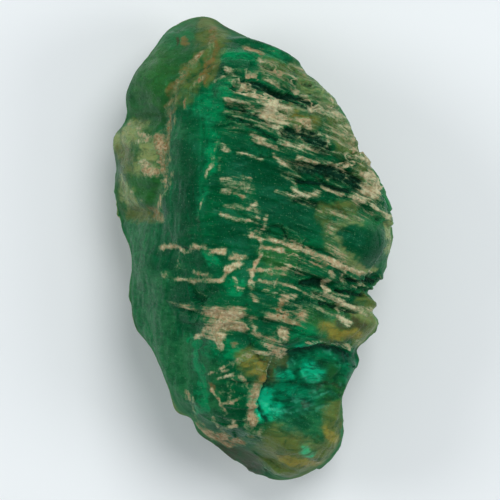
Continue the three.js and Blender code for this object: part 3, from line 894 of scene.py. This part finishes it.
def crystal_mesh():
    """The finished surface in metres, with what the material reads at each point."""
    mesh = fine_mesh()
    p, edges = mesh_arrays(mesh)
    normal = even_normals(mesh, edges)
    where = regions(p, normal)
    front = where["front"]

    stretched = p * (0.5, 1.0, 0.8)
    big_chips, big_tone, big_gap = facets(stretched, BIG_CHIP, 11)
    small_chips, small_tone, small_gap = facets(stretched, SMALL_CHIP, 12)
    film_xy = ragged(p, FILM_RAGGEDNESS)
    film, warmth, veined = mineral_films(p, film_xy, normal, front, big_gap, small_gap)
    drop = drops(film_xy)
    relief = whole_relief(p, normal, where, film, drop, big_chips, small_chips)
    moved = moved_points(p, normal, relief) * MM
    mesh.vertices.foreach_set("co", moved.astype(np.float32).ravel())

    marks = {
        "film": film,
        "veined": veined,
        "warmth": warmth,
        **patch_amounts(p, film_xy, front),
        # where the material paints shade under the ledges
        "drop": front * drop,
        "tone": 0.6 * big_tone + 0.4 * small_tone,
        **{name: where[name] for name in ("flank", "lobes", "streakless", "clear", "rough")},
        "side": smoothstep(0.5, 0.12, normal[:, 2]),
        # how far each point stands above its surroundings: the material lays film on the lips and
        # paints shade in the hollows
        "edge": (relief - averaged(relief, edges, 12)) / EDGE_HEIGHT,
    }
    for name, values in marks.items():
        store(mesh, name, values)
    store_bed(mesh, p)
    mesh.polygons.foreach_set("use_smooth", np.ones(len(mesh.polygons), bool))
    mesh.update()
    return mesh


def make_crystal():
    mesh = crystal_mesh()
    mesh.materials.clear()
    mesh.materials.append(emerald_material())
    crystal = add_object("emerald_crystal_surface", mesh)
    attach(crystal, "root")
    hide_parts(NODE)


# ---- material ----


class Shader:
    """Short names for making and joining a material's nodes."""

    def __init__(self, name):
        self.material = bpy.data.materials.new(name)
        self.material.use_nodes = True
        self.tree = self.material.node_tree
        self.tree.nodes.clear()

    def node(self, kind, inputs=None, **settings):
        """A node with its settings, and its inputs set to values or joined to other nodes."""
        made = self.tree.nodes.new(kind)
        for key, value in settings.items():
            setattr(made, key, value)
        for key, value in (inputs or {}).items():
            if isinstance(value, bpy.types.NodeSocket):
                self.tree.links.new(value, made.inputs[key])
            else:
                made.inputs[key].default_value = value
        return made

    def field(self, name):
        """A number that the mesh keeps for each point."""
        return self.node("ShaderNodeAttribute", attribute_name=name).outputs["Fac"]

    def vector(self, name):
        return self.node("ShaderNodeAttribute", attribute_name=name).outputs["Vector"]

    def place(self):
        """The place on the object, in millimetres."""
        metres = self.node("ShaderNodeTexCoord").outputs["Object"]
        inputs = {0: metres, "Scale": 1 / MM}
        return self.node("ShaderNodeVectorMath", inputs, operation="SCALE").outputs["Vector"]

    def stretched(self, vector, factors):
        inputs = {0: vector, 1: factors}
        return self.node("ShaderNodeVectorMath", inputs, operation="MULTIPLY").outputs["Vector"]

    def noise(self, vector, scale, detail, roughness, distortion=0.0):
        inputs = {
            "Vector": vector,
            "Scale": scale,
            "Detail": detail,
            "Roughness": roughness,
            "Distortion": distortion,
        }
        return self.node("ShaderNodeTexNoise", inputs, noise_dimensions="3D").outputs["Fac"]

    def math(self, operation, *values):
        inputs = dict(enumerate(values))
        return self.node("ShaderNodeMath", inputs, operation=operation).outputs["Value"]

    def times(self, a, b):
        return self.math("MULTIPLY", a, b)

    def step(self, value, low, high, top=1.0):
        """0 at `low` and beyond it, `top` at `high` and beyond it, eased between."""
        inputs = {"Value": value, "From Min": low, "From Max": high, "To Max": top}
        made = self.node("ShaderNodeMapRange", inputs, interpolation_type="SMOOTHSTEP")
        return made.outputs["Result"]

    def mix(self, share, a, b, blend_type="MIX"):
        """Colour a where share is 0, and b, or b over a, where it is 1."""
        inputs = {0: share, 6: a, 7: b}
        made = self.node("ShaderNodeMix", inputs, data_type="RGBA", blend_type=blend_type)
        return made.outputs[2]

    def blend(self, share, a, b):
        """Number a where share is 0, b where it is 1."""
        inputs = {0: share, 2: a, 3: b}
        return self.node("ShaderNodeMix", inputs, data_type="FLOAT").outputs[0]

    def shifted(self, field, grain, amount):
        """A field raised and lowered by a grain of 0 to 1."""
        return self.math("MULTIPLY_ADD", grain, amount, self.math("SUBTRACT", field, 0.5 * amount))

    def broken(self, field, grain, amount):
        """A field made stronger and weaker by a grain of 0 to 1. What is 0 stays 0."""
        return self.times(field, self.math("MULTIPLY_ADD", grain, amount, 1 - 0.5 * amount))

    def finished(self, inputs):
        """The material, with these inputs of its surface shader."""
        shader = self.node("ShaderNodeBsdfPrincipled", inputs)
        self.node("ShaderNodeOutputMaterial", {"Surface": shader.outputs["BSDF"]})
        return self.material


def emerald_fields(s):
    """What the mesh keeps for each point, and the patterns of noise, each from 0 to 1."""
    p = s.place()
    bed = s.vector("bed")
    f = SimpleNamespace(p=p, bed=bed)
    for name in ("flank", "lobes", "rough", "clear", "side", "edge", "streakless"):
        setattr(f, name, s.field(name))
    f.clouds = s.step(s.noise(p, 1.4, 5.0, 0.6), 0.35, 0.65)
    f.crumbs = s.step(s.noise(p, 15.0, 4.0, 0.65), 0.32, 0.68)

    # Streaks lie along the partings on the body, and along the crystal on its flank.
    bed_streaks = s.step(s.noise(bed, 11.0, 6.0, 0.7), 0.33, 0.67)
    along = s.stretched(p, (1.0, 0.12, 0.3))
    long_streaks = s.step(s.noise(along, 9.0, 4.0, 0.65), 0.35, 0.65)
    blotches = s.step(s.noise(p, 3.2, 6.0, 0.7), 0.35, 0.65)
    f.streaks = s.blend(f.streakless, s.blend(f.flank, bed_streaks, long_streaks), blotches)
    f.grain = s.blend(0.4, f.streaks, f.crumbs)
    f.wisps = s.blend(0.3, s.step(s.noise(p, 5.0, 7.0, 0.7), 0.33, 0.67), f.streaks)
    fibres = s.noise(s.stretched(p, (0.45, 1.0, 0.5)), 6.0, 7.0, 0.68, 1.0)
    f.silk = s.step(fibres, 0.36, 0.64)
    return f


def body_colour(s, f):
    """The green body, in flat chips of slightly different tones, and the clear chip."""
    tone = s.blend(0.45, s.blend(0.35, f.clouds, f.streaks), s.field("tone"))
    colour = s.mix(tone, DEEP_GREEN, BODY_GREEN)
    colour = s.mix(s.step(f.streaks, 0.8, 1.0, 0.25), colour, LIVELY_AND_HIGHLIGHT_GREEN)
    colour = s.mix(s.times(f.lobes, s.blend(0.5, f.clouds, 1.0)), colour, LOBE_GREEN)
    flashes = s.step(s.noise(s.stretched(f.p, (0.7, 1.0, 0.6)), 3.5, 5.0, 0.6, 1.5), 0.4, 0.62)
    inside = s.mix(s.blend(0.5, flashes, f.silk), CHIP_DEEP, CHIP_BRIGHT)
    return s.mix(s.times(f.clear, 0.9), colour, inside)


def patched(s, f, colour):
    """The colour with the soft patches over it, painted sheen on the steep sides and painted shade
    under ledges.
    """
    for name, (own, hides, raggedness) in PATCH_COLOURS.items():
        amount = s.broken(s.field(name), s.blend(0.5, f.wisps, f.silk), raggedness)
        colour = s.mix(s.step(amount, 0.0, 1.0, hides), colour, own)
    # Painted sheen: paler green over the steep sides, patchy with the clouds.
    colour = s.mix(s.times(f.side, s.times(f.clouds, 0.7)), colour, PAINTED_SHEEN_GREEN)
    # Painted shade: dark green painted where the surface drops under a ledge.
    drop = s.broken(s.field("drop"), f.grain, 0.6)
    return s.mix(s.step(drop, 0.08, 0.5, 0.92), colour, PAINTED_SHADE_GREEN)


def marked(s, f, colour):
    """The colour with fine light and dark fibres, scratches, painted glint dots and painted shade in
    hollows.
    """
    light = s.blend(f.side, s.blend(f.silk, 0.82, 1.18), s.blend(f.clouds, 0.95, 1.1))
    colour = s.mix(1.0, colour, light, "MULTIPLY")
    unmarked = s.math("MAXIMUM", f.clear, s.math("MAXIMUM", f.side, f.streakless))
    scratches = s.step(s.noise(f.bed, 26.0, 4.0, 0.7), 0.57, 0.72, 0.7)
    scratches = s.times(scratches, s.math("SUBTRACT", 1.0, unmarked))
    colour = s.mix(s.times(scratches, s.blend(f.rough, 0.25, 1.0)), colour, SCRATCH_AND_GLINT)
    # Painted glints: small pale dots of painted highlight, none on the steep sides.
    glint_specks = s.step(s.noise(f.p, 34.0, 2.0, 0.5), 0.65, 0.73, 0.8)
    colour = s.mix(s.times(glint_specks, s.blend(f.side, 1.0, 0.0)), colour, SCRATCH_AND_GLINT)
    # Painted shade: dark green painted in the hollows, where the relief sinks below its surroundings.
    return s.mix(s.step(f.edge, -0.3, -2.4, 0.7), colour, PAINTED_SHADE_GREEN)


def threads(s, f, scale, width):
    """Thin winding lines, where a slow noise passes its middle value."""
    wander = s.noise(s.stretched(f.p, (0.7, 1.4, 1.0)), scale, 3.0, 0.5, 0.4)
    return s.step(s.math("ABSOLUTE", s.math("SUBTRACT", wander, 0.5)), width, 0.2 * width)


def film_strength(s, f):
    """How thick the films lie, with threads between them and breaks along the grain."""
    lips = s.times(s.step(f.edge, 0.4, 2.2, 0.3), f.rough)
    web = s.math("MAXIMUM", threads(s, f, 0.7, 0.014), threads(s, f, 1.4, 0.02))
    fine_films = s.math("ADD", lips, s.times(s.field("veined"), s.times(web, 0.75)))
    cover = s.math("ADD", s.field("film"), fine_films)
    present = s.step(cover, 0.0, 0.2)
    film_grain = s.math("SUBTRACT", s.blend(0.28, f.streaks, f.crumbs), 0.5)
    return s.math("MULTIPLY_ADD", s.times(present, 1.4), film_grain, cover)


def film_colour(s, f):
    """Cream, through tan, to rust where the film is warm, with darker pits."""
    warmth = s.shifted(s.field("warmth"), f.crumbs, 0.6)
    crust = s.mix(s.step(warmth, 0.15, 0.6), CREAM, TAN)
    crust = s.mix(s.step(warmth, 0.65, 1.0), crust, RUST_BROWN)
    pits = s.step(s.noise(f.p, 9.0, 6.0, 0.7), 0.56, 0.36, 0.75)
    return s.mix(pits, crust, TAN_SHADE)


def fine_bump(s, f, film):
    """The normal over the grain of the stone and the crumbs of the films."""
    graininess = s.times(s.blend(f.rough, 0.2, 1.0), s.blend(f.side, 1.0, 0.2))
    height = s.math("ADD", s.times(f.grain, graininess), s.times(film, f.crumbs))
    inputs = {"Height": height, "Strength": 0.8, "Distance": BUMP_HEIGHT * MM}
    return s.node("ShaderNodeBump", inputs).outputs["Normal"]


def emerald_material():
    s = Shader("emerald")
    f = emerald_fields(s)
    strength = film_strength(s, f)
    film = s.step(strength, FILM_SHOWS, FILM_CLOSED, 0.92)
    colour = marked(s, f, patched(s, f, body_colour(s, f)))
    colour = s.mix(s.step(strength, 0.1, 0.8, 0.6), colour, FILM_EDGE)
    colour = s.mix(film, colour, film_colour(s, f))
    bare = s.blend(f.clear, s.blend(f.crumbs, 0.24, 0.38), 0.1)
    roughness = s.blend(film, s.blend(f.side, bare, 0.85), 0.7)
    uncovered = s.times(f.clear, s.math("SUBTRACT", 1.0, film))

    return s.finished({
        "Base Color": colour,
        "Roughness": roughness,
        "Normal": fine_bump(s, f, film),
        "IOR": BERYL_IOR,
        "Specular IOR Level": 0.14,
        "Specular Tint": SPECULAR_TINT,
        "Transmission Weight": s.times(uncovered, SEE_THROUGH),
        "Subsurface Weight": s.blend(film, 0.4, 0.1),
        "Subsurface Radius": SUBSURFACE_TINT,
        "Subsurface Scale": SUBSURFACE_REACH * MM,
    })


# ---- floor, lights and camera ----


def floor_material():
    inputs = {"Base Color": FLOOR_COLOUR, "Roughness": 0.9, "Specular IOR Level": 0.1}
    return Shader("pale_floor").finished(inputs)


def make_floor():
    half = FLOOR_WIDTH * MM / 2
    mesh = bpy.data.meshes.new("floor")
    corners = [(-half, -half, 0), (half, -half, 0), (half, half, 0), (-half, half, 0)]
    mesh.from_pydata(corners, [], [(0, 1, 2, 3)])
    mesh.materials.append(floor_material())
    add_object("floor", mesh)


def make_light(name, place, size, power):
    """A round lamp aimed at the crystal's middle; place and size in mm."""
    light = bpy.data.lights.new(name, "AREA")
    light.shape = "DISK"
    light.size = size * MM
    light.energy = power
    holder = add_object(name, light)
    holder.location = Vector(place) * MM
    aim = Vector((0, 0, 2)) * MM - holder.location
    holder.rotation_euler = aim.to_track_quat("-Z", "Y").to_euler()


def make_lights():
    make_light("key", (50, 90, 190), 120, 0.22)
    make_light("left_fill", (-150, 30, 130), 90, 0.1)
    make_light("right_fill", (150, -10, 130), 90, 0.08)
    world = bpy.data.worlds.new("studio")
    world.use_nodes = True
    background = world.node_tree.nodes["Background"]
    background.inputs["Color"].default_value = SKY_COLOUR
    background.inputs["Strength"].default_value = 0.44
    bpy.context.scene.world = world


def make_camera():
    """Without a rotation, a camera looks straight down."""
    camera = bpy.data.cameras.new("camera")
    camera.lens = LENS
    camera.sensor_width = SENSOR
    camera.clip_start = MM
    distance = VIEW_WIDTH * LENS / SENSOR
    holder = add_object("camera", camera)
    holder.location = Vector((*VIEW_CENTRE, VIEW_HEIGHT + distance)) * MM
    bpy.context.scene.camera = holder


make_camera()
make_lights()
make_floor()
make_crystal()
bpy.context.scene.view_settings.view_transform = "Standard"
